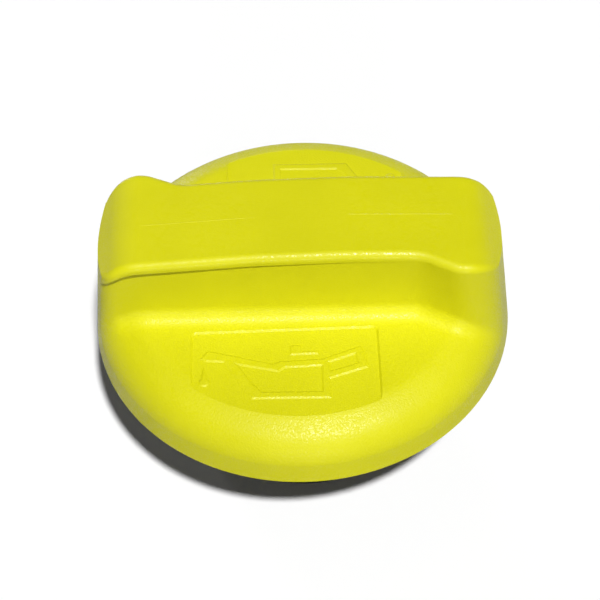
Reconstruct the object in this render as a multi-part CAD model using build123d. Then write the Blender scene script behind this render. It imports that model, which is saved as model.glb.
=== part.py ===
from build123d import *
import os
from math import atan, cos, degrees, hypot, radians, sin, tan

# Oil filler cap: a moulded grip cover, a bayonet plug snapped into it and a rubber seal ring.
# Millimetres and degrees. The axis is Z, the grip bar runs along X, and Z = 0 is the plane where the
# seal meets the filler neck.

# Cover, outer form
RIM_RADIUS = 31.0
SKIRT_DRAFT = 6.0
DISC_HEIGHT = 8.7
BEVEL_WIDTH = 4.9
BEVEL_FALL = 25.0
BEVEL_ROUND = 5.0
EDGE_ROUND = 6.0
BAR_HEIGHT = 21.8
BAR_HALF_WIDTH = 7.85
BAR_CORNER_ROUND = 2.6
FLARE_CORNER_ROUND = 5.0
BAR_TOP_ROUND = 1.1
BAR_FOOT_ROUND = 2.2
LIP_HEIGHT = 1.5
UNDERCUT_ANGLE = 1.1
CROWN_LEVEL = 7.0
CROWN_FALL = 3.2
CROWN_BEND_RADIUS = 80.0
ROLL_WIDTH = 3.2
ROLL_FALL = 45.0
ROLL_RADIUS = 6.0

# Cover, the two corners where the bar's wall flares out
FLARE_LENGTH = 15.5
FLARE_BEND_RADIUS = 6.0
FLARE_ANGLE = 27.0

# Cover, recessed panel in front of the bar, repeated behind it
PANEL_DEPTH = 0.25
PANEL_DRAFT = 50.0
PANEL_LEFT = -16.0
PANEL_RIGHT = 10.6
PANEL_BAR_EDGE = 10.4
PANEL_RIM_INSET = 5.4
PANEL_CORNER = 0.6
PANEL_CLEARANCE = 1.0

# Cover, inside
SKIRT_WALL = 2.4
DISC_WALL = 2.3
BAR_WALL = 2.3
RIB_THICKNESS = 1.5
RIB_SPACING = 11.0
RIB_COUNT = 5
RIB_CLEARANCE = 0.6
NIB_COUNT = 6
NIB_ANGLE = 16.0
NIB_HEIGHT = 1.6
NIB_BITE = 0.5
NIB_ROOT = 0.6

# Plug
FLANGE_THICKNESS = 1.8
FLANGE_CHAMFER = 1.5
FLANGE_CLEARANCE = 0.2
KEY_LENGTH = 25.0
KEY_HEIGHT = 6.0
KEY_WALL = 1.8
KEY_CLEARANCE = 0.15
KEY_CHAMFER = 0.5
NECK_RADIUS = 18.0
NECK_WALL = 2.2
NECK_DEPTH = 22.0
NECK_END_CHAMFER = 0.5
GLAND_STEP = 0.7
SHOULDER_CHAMFER = 0.3
WEB_THICKNESS = 1.6
WEB_SETBACK = 8.0
LUG_DEPTH = 14.0
LUG_REACH = 3.4
LUG_ANGLE = 56.0
LUG_THICKNESS = 4.2
LUG_RAMP = 1.2
LUG_CORNER = 1.0

# Seal ring
SEAL_RADIUS = 24.6
SEAL_THICKNESS = 2.8
SEAL_LIP_THICKNESS = 2.1
SEAL_CLEARANCE = 0.05
LAND_CLEARANCE = 0.6

# Small steps that let cutting surfaces cross the skirt instead of lying on it
EDGE_PROUD = 0.02
BAR_PROUD = 0.06
OVERCUT = 4.0

# How near two sizes count as the same
TOUCH = 0.001

# Levels, from the sealing plane up
FLANGE_TOP = SEAL_THICKNESS + FLANGE_THICKNESS
CEILING = FLANGE_TOP
DISC_TOP = CEILING + DISC_WALL
RIM = DISC_TOP - DISC_HEIGHT
CREST = RIM + BAR_HEIGHT
KEY_TOP = FLANGE_TOP + KEY_HEIGHT
BELOW = RIM - OVERCUT
ABOVE = CREST + OVERCUT
OUTSIDE = RIM_RADIUS + OVERCUT
FLARE_START = RIM_RADIUS - FLARE_LENGTH

# The bar's top counts as far as this tilt, between the middle of a rolled end and its foot
TOP_TILT = (CROWN_FALL + 3 * ROLL_FALL) / 4

SKIRT_SLOPE = tan(radians(SKIRT_DRAFT))
HALF_TURN = Rot(0, 0, 180)


def skirt_radius(level):
    return RIM_RADIUS - (level - RIM) * SKIRT_SLOPE


def turned(*profile):
    """Solid of revolution about Z from an outline in radius and height."""
    return revolve(Plane.YZ * make_face(profile), Axis.Z)


def cone(bottom, top, inset):
    """Solid cone with the skirt's draft, a given distance inside the skirt."""
    return turned(Polyline(
        (0, bottom),
        (skirt_radius(bottom) - inset, bottom),
        (skirt_radius(top) - inset, top),
        (0, top),
        close=True,
    ))


def bar_plan(wall, undercut):
    """Plan of the bar, a wall inside its surface: each side runs straight, then flares out at one end."""
    half_width = BAR_HALF_WIDTH - wall
    turn = radians(FLARE_ANGLE)
    along = Vector(cos(turn), -sin(turn))
    inward = Vector(sin(turn), cos(turn))
    half_inward = Vector(sin(turn / 2), cos(turn / 2))
    bend_radius = FLARE_BEND_RADIUS + wall
    bend_start = Vector(FLARE_START, -half_width)
    bend_centre = bend_start - Vector(0, bend_radius)
    bend_end = bend_centre + inward * bend_radius
    run = FLARE_START + 2 * OUTSIDE
    plain_end = bend_start + Vector(-run, run * tan(radians(undercut)))
    flare_end = bend_end + along * OUTSIDE
    front = [
        Line(plain_end, bend_start),
        ThreePointArc(bend_start, bend_centre + half_inward * bend_radius, bend_end),
        Line(bend_end, flare_end),
        Line(flare_end, -plain_end),
    ]
    back = [HALF_TURN * edge for edge in front]
    return make_face(front + back)


def bar_column(wall, undercut, end_inset):
    """The bar's plan carried up, a given wall inside its surface, and cut off inside the skirt."""
    walls = Pos(0, 0, BELOW) * extrude(bar_plan(wall, undercut), ABOVE - BELOW)
    return walls & cone(BELOW, ABOVE, end_inset)


def across(edge):
    """How far an edge lies from the bar's middle plane."""
    return abs(edge.position_at(0.5).Y)


def is_end_edge(edge):
    """An upright edge where the bar's wall meets its end, which stands just proud of the skirt."""
    middle = edge.position_at(0.5)
    upright = abs(edge.position_at(0).Z - edge.position_at(1).Z) > BAR_HEIGHT
    return upright and hypot(middle.X, middle.Y) > skirt_radius(middle.Z)


def under_crown(depth):
    """Everything below the bar's top: level in the middle, then a gentle fall, then a roll at each end."""
    top = CREST - depth
    roll_start = skirt_radius(CREST) - ROLL_WIDTH
    roll_top = top - (roll_start - CROWN_LEVEL) * tan(radians(CROWN_FALL))
    end_top = roll_top - (OUTSIDE - roll_start) * tan(radians(ROLL_FALL))
    right = [(CROWN_LEVEL, top), (roll_start, roll_top), (OUTSIDE, end_top), (OUTSIDE, BELOW)]
    left = [(-along, height) for along, height in reversed(right)]
    side = make_face(Polyline(*left, *right, close=True))
    side = fillet(side.vertices().sort_by(Axis.Y)[-2:], CROWN_BEND_RADIUS)
    rolls = [corner for corner in side.vertices() if abs(abs(corner.X) - roll_start) < TOUCH]
    side = fillet(rolls, ROLL_RADIUS)
    return extrude(Plane.XZ * side, OUTSIDE, both=True)


def above_disc():
    """Everything above the disc, its bevel and its rounded edge, as a ring that reaches past the skirt."""
    fall = radians(BEVEL_FALL)
    bevel = BEVEL_WIDTH / (cos(fall) - sin(fall) * SKIRT_SLOPE)
    flat_end = (skirt_radius(DISC_TOP) + EDGE_PROUD - BEVEL_WIDTH, DISC_TOP)
    corner = (flat_end[0] + bevel * cos(fall), DISC_TOP - bevel * sin(fall))
    skirt_foot = (skirt_radius(BELOW) + EDGE_PROUD, BELOW)
    far = OUTSIDE + OVERCUT
    outline = make_face(Polyline(
        (0, DISC_TOP),
        flat_end,
        corner,
        skirt_foot,
        (far, BELOW),
        (far, ABOVE),
        (0, ABOVE),
        close=True,
    ))
    for point, radius in ((flat_end, BEVEL_ROUND), (corner, EDGE_ROUND)):
        outline = fillet(outline.vertices().sort_by_distance((*point, 0))[0], radius)
    return revolve(Plane.YZ * outline, Axis.Z)


def is_foot_edge(edge):
    """An edge along the bar's foot: on the disc, its rounded edge or the skirt, but not round the axis."""
    points = [edge.position_at(share) for share in (0, 0.5, 1)]
    radii = [hypot(point.X, point.Y) for point in points]
    heights = [point.Z for point in points]
    on_cover = max(radii) < OUTSIDE and BELOW + TOUCH < max(heights) < DISC_TOP + TOUCH
    round_axis = max(radii) - min(radii) < TOUCH and max(heights) - min(heights) < TOUCH
    return on_cover and not round_axis


def finger_wells():
    """The space beside the bar's lip and the wider space below it, with the corners and the foot rounded."""
    below_lip = under_crown(LIP_HEIGHT)
    wells = []
    for undercut in (0, UNDERCUT_ANGLE):
        bar = bar_column(0, undercut, -BAR_PROUD)
        plain_corners = bar.edges().filter_by(is_end_edge).sort_by(across)[:2]
        bar = fillet(plain_corners, BAR_CORNER_ROUND)
        flared_corners = bar.edges().filter_by(is_end_edge).sort_by(across)[-2:]
        bar = fillet(flared_corners, FLARE_CORNER_ROUND)
        wells.append(above_disc() - bar)
    lower = fillet(wells[1].edges().filter_by(is_foot_edge), BAR_FOOT_ROUND)
    return [wells[0] - below_lip, lower & below_lip]


def panel():
    """Shallow recess in the disc in front of the bar: sloping walls, its outer edge round the axis."""
    rim_radius = RIM_RADIUS - PANEL_RIM_INSET
    outer = Circle(rim_radius)
    width = PANEL_RIGHT - PANEL_LEFT
    length = rim_radius - PANEL_BAR_EDGE
    window = Pos(PANEL_LEFT, -PANEL_BAR_EDGE - length) * Rectangle(width, length, align=Align.MIN)
    outline = outer & window
    outline = fillet(outline.vertices(), PANEL_CORNER)
    recess = extrude(outline, PANEL_DEPTH + PANEL_CLEARANCE, taper=-PANEL_DRAFT)
    return Pos(0, 0, DISC_TOP - PANEL_DEPTH) * recess


def cover_hollow():
    """The cover's inside: the shallow skirt and the tall slot in the bar, with cross ribs left."""
    wall_bottom = CEILING - FLANGE_CHAMFER
    skirt = turned(Polyline(
        (0, BELOW),
        (skirt_radius(BELOW) - SKIRT_WALL, BELOW),
        (skirt_radius(wall_bottom) - SKIRT_WALL, wall_bottom),
        (skirt_radius(CEILING) - SKIRT_WALL - FLANGE_CHAMFER, CEILING),
        (0, CEILING),
        close=True,
    ))
    slot = bar_column(BAR_WALL, UNDERCUT_ANGLE, SKIRT_WALL) & under_crown(BAR_WALL)
    rib_bottom = KEY_TOP + RIB_CLEARANCE
    rib = Box(RIB_THICKNESS, 2 * OUTSIDE, ABOVE - rib_bottom, align=(Align.CENTER, Align.CENTER, Align.MIN))
    first = -(RIB_COUNT - 1) / 2 * RIB_SPACING
    for number in range(RIB_COUNT):
        slot -= Pos(first + number * RIB_SPACING, 0, rib_bottom) * rib
    return skirt + slot


def snap_nibs():
    """Nibs inside the skirt that the plug's flange snaps past."""
    top = SEAL_THICKNESS
    bottom = top - NIB_HEIGHT
    wall_top = skirt_radius(top) - SKIRT_WALL
    wall_bottom = skirt_radius(bottom) - SKIRT_WALL
    flange = wall_top - FLANGE_CLEARANCE
    profile = Polyline(
        (wall_top + NIB_ROOT, top),
        (flange - NIB_BITE, top),
        (wall_bottom, bottom),
        (wall_bottom + NIB_ROOT, bottom),
        close=True,
    )
    nib = revolve(Plane.XZ * make_face(profile), Axis.Z, NIB_ANGLE)
    step = 360 / NIB_COUNT
    return [Rot(0, 0, number * step + (step - NIB_ANGLE) / 2) * nib for number in range(NIB_COUNT)]


def is_bar_top(face):
    """A face of the bar's top: level or gently tilted, and above the rounding at the bar's foot."""
    faces_up = face.normal_at().Z > cos(radians(TOP_TILT))
    return faces_up and face.center().Z > DISC_TOP + BAR_FOOT_ROUND


def grip_cover():
    body = cone(RIM, ABOVE, 0) & under_crown(0)
    for well in finger_wells():
        body -= well
    top_edges = body.faces().filter_by(is_bar_top).edges()
    body = fillet(top_edges.filter_by(Axis.Y, reverse=True), BAR_TOP_ROUND)
    body -= panel()
    body -= HALF_TURN * panel()
    body -= cover_hollow()
    for nib in snap_nibs():
        body += nib
    return body


def drive_key():
    """Rectangular frame on the flange that fits the slot in the bar and turns the plug."""
    narrowing = (FLARE_START + KEY_LENGTH / 2) * tan(radians(UNDERCUT_ANGLE))
    half_width = BAR_HALF_WIDTH - BAR_WALL - narrowing - KEY_CLEARANCE
    base = (Align.CENTER, Align.CENTER, Align.MIN)
    frame = Box(KEY_LENGTH, 2 * half_width, KEY_HEIGHT, align=base)
    frame = chamfer(frame.faces().sort_by(Axis.Z)[-1].edges(), KEY_CHAMFER)
    frame -= Box(KEY_LENGTH - 2 * KEY_WALL, 2 * (half_width - KEY_WALL), KEY_HEIGHT, align=base)
    return Pos(0, 0, FLANGE_TOP) * frame


def plug_body():
    """Flange, seat for the seal and hollow neck, turned about the axis."""
    flange_radius = skirt_radius(CEILING) - SKIRT_WALL - FLANGE_CLEARANCE
    gland_radius = NECK_RADIUS - GLAND_STEP
    shoulder = SEAL_THICKNESS - SEAL_LIP_THICKNESS - SEAL_CLEARANCE
    bore_radius = NECK_RADIUS - NECK_WALL
    return turned(Polyline(
        (0, FLANGE_TOP),
        (flange_radius - FLANGE_CHAMFER, FLANGE_TOP),
        (flange_radius, FLANGE_TOP - FLANGE_CHAMFER),
        (flange_radius, SEAL_THICKNESS),
        (gland_radius, SEAL_THICKNESS),
        (gland_radius, shoulder),
        (NECK_RADIUS - SHOULDER_CHAMFER, shoulder),
        (NECK_RADIUS, shoulder - SHOULDER_CHAMFER),
        (NECK_RADIUS, NECK_END_CHAMFER - NECK_DEPTH),
        (NECK_RADIUS - NECK_END_CHAMFER, -NECK_DEPTH),
        (bore_radius, -NECK_DEPTH),
        (bore_radius, SEAL_THICKNESS),
        (0, SEAL_THICKNESS),
        close=True,
    ))


def neck_webs():
    """Two crossed webs that stiffen the neck, set back from its open end."""
    span = 2 * NECK_RADIUS - NECK_WALL
    height = SEAL_THICKNESS + NECK_DEPTH - WEB_SETBACK
    web = Box(span, WEB_THICKNESS, height, align=(Align.CENTER, Align.CENTER, Align.MAX))
    web = Pos(0, 0, SEAL_THICKNESS) * web
    return web + Rot(0, 0, 90) * web


def bayonet_lug():
    """Lug on the +X side whose upper face rises towards its trailing end."""
    outer = NECK_RADIUS + LUG_REACH
    inner = NECK_RADIUS - NECK_WALL / 2
    bottom = -LUG_DEPTH
    profile = Polyline(
        (inner, bottom),
        (outer, bottom),
        (outer, bottom + LUG_THICKNESS),
        (inner, bottom + LUG_THICKNESS),
        close=True,
    )
    lug = revolve(Plane.XZ * make_face(profile), Axis.Z, LUG_ANGLE)
    lug = Rot(0, 0, -LUG_ANGLE / 2) * lug
    corners = lug.edges().filter_by(Axis.Z).sort_by_distance((0, 0, bottom))[-2:]
    lug = fillet(corners, LUG_CORNER)
    half_chord = outer * sin(radians(LUG_ANGLE / 2))
    tilt = degrees(atan(LUG_RAMP / 2 / half_chord))
    over = Box(2 * outer, 2 * outer, LUG_THICKNESS, align=(Align.CENTER, Align.CENTER, Align.MIN))
    ramp_middle = bottom + LUG_THICKNESS - LUG_RAMP / 2
    return lug - Pos(0, 0, ramp_middle) * Rot(tilt, 0, 0) * over


def bayonet_plug():
    lug = bayonet_lug()
    return plug_body() + drive_key() + neck_webs() + lug + HALF_TURN * lug


def seal_ring():
    """Rubber ring with a sealing land below and a lip held above the neck's shoulder."""
    lip_radius = NECK_RADIUS - GLAND_STEP + SEAL_CLEARANCE
    land_radius = NECK_RADIUS + LAND_CLEARANCE
    lip_bottom = SEAL_THICKNESS - SEAL_LIP_THICKNESS
    return turned(Polyline(
        (lip_radius, lip_bottom),
        (land_radius, lip_bottom),
        (land_radius, 0),
        (SEAL_RADIUS, 0),
        (SEAL_RADIUS, SEAL_THICKNESS),
        (lip_radius, SEAL_THICKNESS),
        close=True,
    ))


os.makedirs("parts", exist_ok=True)
export_step(grip_cover(), "parts/grip_cover.step")
export_step(bayonet_plug(), "parts/bayonet_plug.step")
export_step(seal_ring(), "parts/seal_ring.step")
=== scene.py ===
from math import cos, pi, radians, sin

import bmesh
import bpy
from mathutils import Matrix, Vector


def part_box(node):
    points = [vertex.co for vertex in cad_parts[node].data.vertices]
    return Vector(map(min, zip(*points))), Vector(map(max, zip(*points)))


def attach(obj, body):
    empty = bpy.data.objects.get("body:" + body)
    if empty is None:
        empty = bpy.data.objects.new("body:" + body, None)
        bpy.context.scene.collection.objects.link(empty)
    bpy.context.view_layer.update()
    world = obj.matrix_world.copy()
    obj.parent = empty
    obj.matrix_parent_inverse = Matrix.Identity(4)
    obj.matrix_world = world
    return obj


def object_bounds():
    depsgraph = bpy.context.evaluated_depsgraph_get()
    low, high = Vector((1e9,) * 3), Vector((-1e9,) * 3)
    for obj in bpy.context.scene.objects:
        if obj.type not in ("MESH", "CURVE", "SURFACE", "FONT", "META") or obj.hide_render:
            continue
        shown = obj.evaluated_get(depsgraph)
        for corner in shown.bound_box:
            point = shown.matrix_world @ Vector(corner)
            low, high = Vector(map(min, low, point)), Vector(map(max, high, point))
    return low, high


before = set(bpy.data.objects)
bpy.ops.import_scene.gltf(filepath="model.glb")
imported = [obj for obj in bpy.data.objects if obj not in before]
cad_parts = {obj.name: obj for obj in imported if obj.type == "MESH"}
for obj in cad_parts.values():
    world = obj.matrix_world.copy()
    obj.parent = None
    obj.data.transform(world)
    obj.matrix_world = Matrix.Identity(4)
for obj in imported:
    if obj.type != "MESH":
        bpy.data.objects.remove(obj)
cad_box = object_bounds()

# Oil filler cap: moulded yellow cover with an oil-can sign in relief, black plug and rubber seal.
# Metres in the part's own frame. The axis is Z and the grip bar runs along X.
MM = 0.001

# Camera, aimed at the middle of the cover's rim
CAMERA_ELEVATION = radians(51.1)
CAMERA_ROLL = radians(2.2)
CAMERA_DISTANCE = 300 * MM
CAMERA_NEAREST = 1 * MM
CAMERA_LENS = 118.9
CAMERA_SENSOR = 36.0
CAMERA_SHIFT = (-0.0038, 0.0192)

# Light: a parallel key from above the front, a soft lamp low on each side and an even fill
KEY_DIRECTION = Vector((0.13, -0.52, 1.0))
KEY_SPREAD = radians(3.2)
KEY_STRENGTH = 3.36
FRONT_DIRECTION = Vector((0.0, -1.0, 0.1))
FRONT_SIZE = 200 * MM
FRONT_POWER = 2.3
REAR_DIRECTION = Vector((-0.45, 1.0, 0.14))
REAR_SIZE = 300 * MM
REAR_POWER = 1.8
LAMP_DISTANCE = 1200 * MM
FILL_COLOUR = (1, 1, 1, 1)
FILL_STRENGTH = 0.035

# Backdrop: white up to one height over the horizon, fading out at the next, both as sines of angles
BACKDROP_STRENGTH = 1.0
BACKDROP_WHITE = 0.18
BACKDROP_END = 0.3

# Floor: its side, its colour to the eye and the colour that it throws back onto the cap
FLOOR_SIZE = 60.0
FLOOR_COLOUR = (1.0, 1.0, 1.0, 1)
FLOOR_BOUNCE = (0.1, 0.1, 0.1, 1)
FLOOR_ROUGHNESS = 0.9

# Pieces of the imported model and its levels
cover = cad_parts["grip_cover"]
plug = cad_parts["bayonet_plug"]
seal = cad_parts["seal_ring"]
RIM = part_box("grip_cover")[0].z
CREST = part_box("grip_cover")[1].z
FLOOR = cad_box[0].z

# Points in plan where the front panel and the bare disc beside it are measured
PANEL_POINT = (-12 * MM, -12 * MM)
DISC_POINT = (14 * MM, -16 * MM)


def height_at(x, y):
    """Height of the cover's outer surface over a point, in metres."""
    hit, place, normal, face = cover.ray_cast(Vector((x, y, CREST + MM)), Vector((0, 0, -1)))
    return place.z


PANEL_FLOOR = height_at(*PANEL_POINT)
DISC_TOP = height_at(*DISC_POINT)

# Hand wear on the bar: the grain starts to fade at one height and is faint from the next one up
WEAR_START = DISC_TOP + 1.5 * MM
WEAR_FULL = DISC_TOP + 5 * MM
FRESH_GRAIN = 1.0
WORN_GRAIN = 0.22

# Sign in relief: its share of the panel's depth, its height and how far its sloping sides reach in
SIGN_SHARE = 0.6
SIGN_RISE = SIGN_SHARE * (DISC_TOP - PANEL_FLOOR)
SIGN_SLOPE = 0.3 * MM
SIGN_WELD = 0.002 * MM

# Hairline along the top of the bar
HAIRLINE_ENDS = (-26.5 * MM, 22 * MM)
HAIRLINE_RADIUS = 0.09 * MM
HAIRLINE_PROUD = 0.03 * MM
HAIRLINE_STEPS = 24
HAIRLINE_ROUNDNESS = 2


# Materials
def add_node(tree, kind, **inputs):
    """Adds a shader node and sets its named inputs."""
    node = tree.nodes.new(kind)
    for label, value in inputs.items():
        node.inputs[label.replace("_", " ")].default_value = value
    return node


def new_material(name, specular):
    """A material with a given specular level, its node tree and its shader."""
    material = bpy.data.materials.new(name)
    material.use_nodes = True
    shader = material.node_tree.nodes["Principled BSDF"]
    shader.inputs["Specular IOR Level"].default_value = specular
    return material, material.node_tree, shader


def seen_rays(tree):
    """Is 1 for rays that show a surface to the eye, straight, mirrored or through glass, and else 0."""
    ray = add_node(tree, "ShaderNodeLightPath")
    seen = ray.outputs["Is Camera Ray"]
    for label in ("Is Glossy Ray", "Is Transmission Ray"):
        either = add_node(tree, "ShaderNodeMath")
        either.operation = "MAXIMUM"
        tree.links.new(seen, either.inputs[0])
        tree.links.new(ray.outputs[label], either.inputs[1])
        seen = either.outputs["Value"]
    return seen


class Finish:
    """A material whose shader follows noise patterns that are fixed to the part."""

    def __init__(self, name, specular):
        self.material, self.tree, self.shader = new_material(name, specular)
        self.place = self.add("ShaderNodeTexCoord").outputs["Object"]

    def add(self, kind, **inputs):
        return add_node(self.tree, kind, **inputs)

    def link(self, output, node, label):
        self.tree.links.new(output, node.inputs[label])

    def noise(self, **inputs):
        """A noise pattern."""
        node = self.add("ShaderNodeTexNoise", **inputs)
        self.link(self.place, node, "Vector")
        return node.outputs["Fac"]

    def tint(self, pattern, dark, light):
        """Colour between two shades, each given as a level of the pattern and a colour."""
        node = self.add("ShaderNodeValToRGB")
        for stop, (level, colour) in zip(node.color_ramp.elements, (dark, light)):
            stop.position = level
            stop.color = colour
        self.link(pattern, node, "Fac")
        self.link(node.outputs["Color"], self.shader, "Base Color")

    def gloss(self, pattern, **inputs):
        """Roughness over a range of the pattern."""
        node = self.add("ShaderNodeMapRange", **inputs)
        self.link(pattern, node, "Value")
        self.link(node.outputs["Result"], self.shader, "Roughness")

    def bump(self, pattern, **inputs):
        """Fine relief from the pattern, in place of any set before it."""
        node = self.add("ShaderNodeBump", **inputs)
        self.link(pattern, node, "Height")
        self.link(node.outputs["Normal"], self.shader, "Normal")
        return node


def moulded_yellow():
    """Satin polypropylene: spark grain on the disc and skirt, rubbed smoother on the bar."""
    finish = Finish("moulded_yellow", specular=0.45)
    finish.shader.inputs["IOR"].default_value = 1.49

    cloud = finish.noise(Scale=70.0, Detail=3.0, Roughness=0.55)
    finish.tint(cloud, (0.3, (0.69, 0.67, 0.002, 1)), (0.7, (0.74, 0.72, 0.003, 1)))
    grain = finish.noise(Scale=3600.0, Detail=2.0, Roughness=0.6)
    finish.gloss(grain, From_Min=0.38, From_Max=0.58, To_Min=0.3, To_Max=0.66)

    height = finish.add("ShaderNodeSeparateXYZ")
    finish.link(finish.place, height, "Vector")
    wear_range = {"From_Min": WEAR_START, "From_Max": WEAR_FULL, "To_Min": FRESH_GRAIN, "To_Max": WORN_GRAIN}
    wear = finish.add("ShaderNodeMapRange", **wear_range)
    finish.link(height.outputs["Z"], wear, "Value")

    orange_peel = finish.noise(Scale=700.0, Detail=1.0, Roughness=0.5)
    coarse = finish.bump(orange_peel, Strength=0.25, Distance=0.03 * MM)
    fine = finish.bump(grain, Distance=0.06 * MM)
    finish.link(wear.outputs["Result"], fine, "Strength")
    finish.link(coarse.outputs["Normal"], fine, "Normal")
    return finish.material


def moulded_black():
    """Black glass-filled nylon: faint flow marks and a dull, slightly uneven finish."""
    finish = Finish("moulded_black", specular=0.4)
    flow = finish.noise(Scale=160.0, Detail=4.0, Roughness=0.6)
    finish.tint(flow, (0.3, (0.012, 0.012, 0.013, 1)), (0.75, (0.026, 0.026, 0.028, 1)))
    finish.gloss(flow, From_Min=0.3, From_Max=0.7, To_Min=0.4, To_Max=0.58)
    grain = finish.noise(Scale=2600.0, Detail=2.0, Roughness=0.5)
    finish.bump(grain, Strength=0.35, Distance=0.02 * MM)
    return finish.material


def seal_rubber():
    """Nitrile rubber: matt, near black, with a faint bloom."""
    finish = Finish("seal_rubber", specular=0.3)
    bloom = finish.noise(Scale=240.0, Detail=5.0, Roughness=0.65)
    finish.tint(bloom, (0.35, (0.016, 0.016, 0.016, 1)), (0.8, (0.045, 0.044, 0.042, 1)))
    finish.gloss(bloom, From_Min=0.3, From_Max=0.7, To_Min=0.7, To_Max=0.88)
    finish.bump(bloom, Strength=0.3, Distance=0.03 * MM)
    return finish.material


YELLOW = moulded_yellow()
for node, material in ((cover, YELLOW), (plug, moulded_black()), (seal, seal_rubber())):
    node.material_slots[0].material = material


# Pieces on the cover
def mesh_from_curve(name, curve):
    """Mesh of a bevelled curve, which is then deleted."""
    holder = bpy.data.objects.new(name, curve)
    mesh = bpy.data.meshes.new_from_object(holder)
    mesh.name = name
    bpy.data.objects.remove(holder)
    bpy.data.curves.remove(curve)
    return mesh


def place_piece(name, mesh, turn):
    """Puts a yellow piece on the cover, turned about the axis."""
    mesh.materials.clear()
    mesh.materials.append(YELLOW)
    piece = bpy.data.objects.new(name, mesh)
    piece.matrix_world = Matrix.Rotation(turn, 4, "Z")
    bpy.context.collection.objects.link(piece)
    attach(piece, "root")


# Oil-can sign, drawn in millimetres as seen from the front: outlines and the holes in them
CAN_OUTLINE = [
    (-14.0, -13.6), (-13.1, -13.6), (-4.5, -16.2), (-3.5, -15.8), (2.7, -15.6), (8.2, -13.5), (8.75, -14.6),
    (9.2, -17.5), (3.7, -19.3), (3.7, -22.7), (-7.7, -22.4), (-11.5, -15.7), (-14.1, -15.45),
    (-14.95, -14.95),
]
CAN_INSIDE = [
    (-9.4, -16.3), (-3.7, -17.8), (-2.7, -17.1), (2.4, -17.0), (2.4, -21.4), (-6.1, -21.1), (-7.4, -19.6),
]
HANDLE_INSIDE = [(3.7, -16.4), (7.3, -15.1), (7.6, -16.6), (3.8, -17.8)]
LID = [(-2.05, -13.0), (-0.25, -13.0), (-0.25, -14.1), (2.2, -14.1), (2.2, -14.85), (-2.05, -14.85)]
DROP_TIP = (-14.4, -16.1)
DROP_CENTRE = (-14.35, -19.1)
DROP_RADIUS = 0.8
DROP_STEPS = 14
DROP_OPENING = radians(40)


def drop_outline():
    """A pointed drop: a round foot drawn out to its tip."""
    points = [DROP_TIP]
    sweep = 2 * pi - 2 * DROP_OPENING
    for step in range(DROP_STEPS + 1):
        turn = pi / 2 - DROP_OPENING - sweep * step / DROP_STEPS
        points.append((DROP_CENTRE[0] + DROP_RADIUS * cos(turn), DROP_CENTRE[1] + DROP_RADIUS * sin(turn)))
    return points


def raised_sign(name, shapes):
    """Closed mesh with sloping sides, half of it above the panel and half sunk in it."""
    curve = bpy.data.curves.new(name, "CURVE")
    curve.dimensions = "2D"
    curve.fill_mode = "BOTH"
    curve.offset = -SIGN_SLOPE
    curve.bevel_depth = SIGN_SLOPE
    curve.bevel_resolution = 0
    for outline in shapes:
        spline = curve.splines.new("POLY")
        spline.points.add(len(outline) - 1)
        for point, (x, y) in zip(spline.points, outline):
            point.co = (x * MM, y * MM, 0, 1)
        spline.use_cyclic_u = True
        spline.use_smooth = False
    mesh = mesh_from_curve(name, curve)

    work = bmesh.new()
    work.from_mesh(mesh)
    bmesh.ops.remove_doubles(work, verts=work.verts, dist=SIGN_WELD)
    bmesh.ops.recalc_face_normals(work, faces=work.faces)
    bmesh.ops.scale(work, verts=work.verts, vec=(1, 1, SIGN_RISE / SIGN_SLOPE))
    bmesh.ops.translate(work, verts=work.verts, vec=(0, 0, PANEL_FLOOR))
    work.to_mesh(mesh)
    work.free()
    return mesh


sign_shapes = [CAN_OUTLINE, CAN_INSIDE, HANDLE_INSIDE, LID, drop_outline()]
sign_mesh = raised_sign("oil_can_sign", sign_shapes)
place_piece("oil_can_sign_front", sign_mesh, 0)
place_piece("oil_can_sign_back", sign_mesh, pi)


# Hairline left by the mould along the top of the bar
def hairline_mesh():
    """A thin sunk bead that follows the top of the bar and fades out at its crest."""
    curve = bpy.data.curves.new("parting_hairline", "CURVE")
    curve.dimensions = "3D"
    curve.bevel_depth = HAIRLINE_RADIUS
    curve.bevel_resolution = HAIRLINE_ROUNDNESS
    curve.use_fill_caps = True
    spline = curve.splines.new("POLY")
    spline.points.add(HAIRLINE_STEPS)
    start, end = HAIRLINE_ENDS
    for step, point in enumerate(spline.points):
        x = start + (end - start) * step / HAIRLINE_STEPS
        surface = height_at(x, 0)
        proud = min(HAIRLINE_PROUD, CREST - surface)
        point.co = (x, 0, surface + proud - HAIRLINE_RADIUS, 1)
    return mesh_from_curve("parting_hairline", curve)


place_piece("parting_hairline", hairline_mesh(), 0)


# Floor
def floor_material():
    """White paper to the eye and in reflections, with less light thrown back onto the cap."""
    material, tree, shader = new_material("floor_white", specular=0.0)
    shader.inputs["Roughness"].default_value = FLOOR_ROUGHNESS
    tint = add_node(tree, "ShaderNodeMix")
    tint.data_type = "RGBA"
    unseen_colour, seen_colour = [socket for socket in tint.inputs if socket.type == "RGBA"]
    unseen_colour.default_value = FLOOR_BOUNCE
    seen_colour.default_value = FLOOR_COLOUR
    tree.links.new(seen_rays(tree), tint.inputs["Factor"])
    colour = next(socket for socket in tint.outputs if socket.type == "RGBA")
    tree.links.new(colour, shader.inputs["Base Color"])
    return material


def make_floor():
    """A square floor under the plug's end."""
    mesh = bpy.data.meshes.new("floor")
    half = FLOOR_SIZE / 2
    corners = [(-half, -half, FLOOR), (half, -half, FLOOR), (half, half, FLOOR), (-half, half, FLOOR)]
    mesh.from_pydata(corners, [], [(0, 1, 2, 3)])
    floor = bpy.data.objects.new("floor", mesh)
    bpy.context.collection.objects.link(floor)
    mesh.materials.append(floor_material())


make_floor()


# Light
def aim(obj, place, target):
    """Puts a lamp or camera at a place and turns it to look at a target."""
    obj.location = place
    obj.rotation_euler = (target - place).to_track_quat("-Z", "Y").to_euler()


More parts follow.
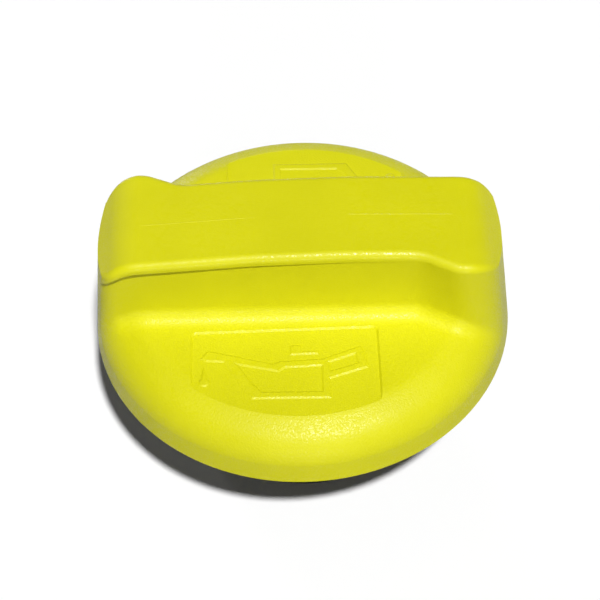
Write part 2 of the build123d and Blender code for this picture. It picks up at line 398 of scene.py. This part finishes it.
def make_lamp(name, kind, direction, power):
    """A lamp that looks at the part's origin."""
    lamp = bpy.data.lights.new(name, kind)
    lamp.energy = power
    holder = bpy.data.objects.new(name, lamp)
    bpy.context.collection.objects.link(holder)
    aim(holder, direction.normalized() * LAMP_DISTANCE, Vector((0, 0, 0)))
    return lamp


def make_key():
    """The main light: parallel, so that the floor is evenly bright all round."""
    lamp = make_lamp("key", "SUN", KEY_DIRECTION, KEY_STRENGTH)
    lamp.angle = KEY_SPREAD


def make_soft_lamp(name, direction, size, power):
    """A round soft lamp that lightens the walls on one side."""
    lamp = make_lamp(name, "AREA", direction, power)
    lamp.shape = "DISK"
    lamp.size = size


def make_world():
    """Even, weak light from all round, and a white backdrop over the horizon that is only seen."""
    world = bpy.data.worlds.new("studio")
    world.use_nodes = True
    tree = world.node_tree
    background = tree.nodes["Background"]
    background.inputs["Color"].default_value = FILL_COLOUR
    direction = add_node(tree, "ShaderNodeTexCoord").outputs["Generated"]
    height = add_node(tree, "ShaderNodeSeparateXYZ")
    tree.links.new(direction, height.inputs["Vector"])
    fade = {"From_Min": BACKDROP_WHITE, "From_Max": BACKDROP_END}
    backdrop = add_node(tree, "ShaderNodeMapRange", **fade, To_Min=BACKDROP_STRENGTH, To_Max=FILL_STRENGTH)
    tree.links.new(height.outputs["Z"], backdrop.inputs["Value"])
    strength = add_node(tree, "ShaderNodeMapRange", To_Min=FILL_STRENGTH)
    tree.links.new(seen_rays(tree), strength.inputs["Value"])
    tree.links.new(backdrop.outputs["Result"], strength.inputs["To Max"])
    tree.links.new(strength.outputs["Result"], background.inputs["Strength"])
    bpy.context.scene.world = world


make_key()
make_soft_lamp("front", FRONT_DIRECTION, FRONT_SIZE, FRONT_POWER)
make_soft_lamp("rear", REAR_DIRECTION, REAR_SIZE, REAR_POWER)
make_world()


# Camera
def make_camera():
    """The photo's view: from the front and above, rolled a little."""
    lens = bpy.data.cameras.new("camera")
    lens.lens = CAMERA_LENS
    lens.sensor_width = CAMERA_SENSOR
    lens.clip_start = CAMERA_NEAREST
    lens.shift_x, lens.shift_y = CAMERA_SHIFT
    camera = bpy.data.objects.new("camera", lens)
    bpy.context.collection.objects.link(camera)
    target = Vector((0, 0, RIM))
    back = Vector((0, -cos(CAMERA_ELEVATION), sin(CAMERA_ELEVATION)))
    aim(camera, target + back * CAMERA_DISTANCE, target)
    roll = Matrix.Rotation(-CAMERA_ROLL, 3, "Z")
    camera.rotation_euler = (camera.rotation_euler.to_matrix() @ roll).to_euler()
    bpy.context.scene.camera = camera


make_camera()
bpy.context.scene.view_settings.view_transform = "Standard"
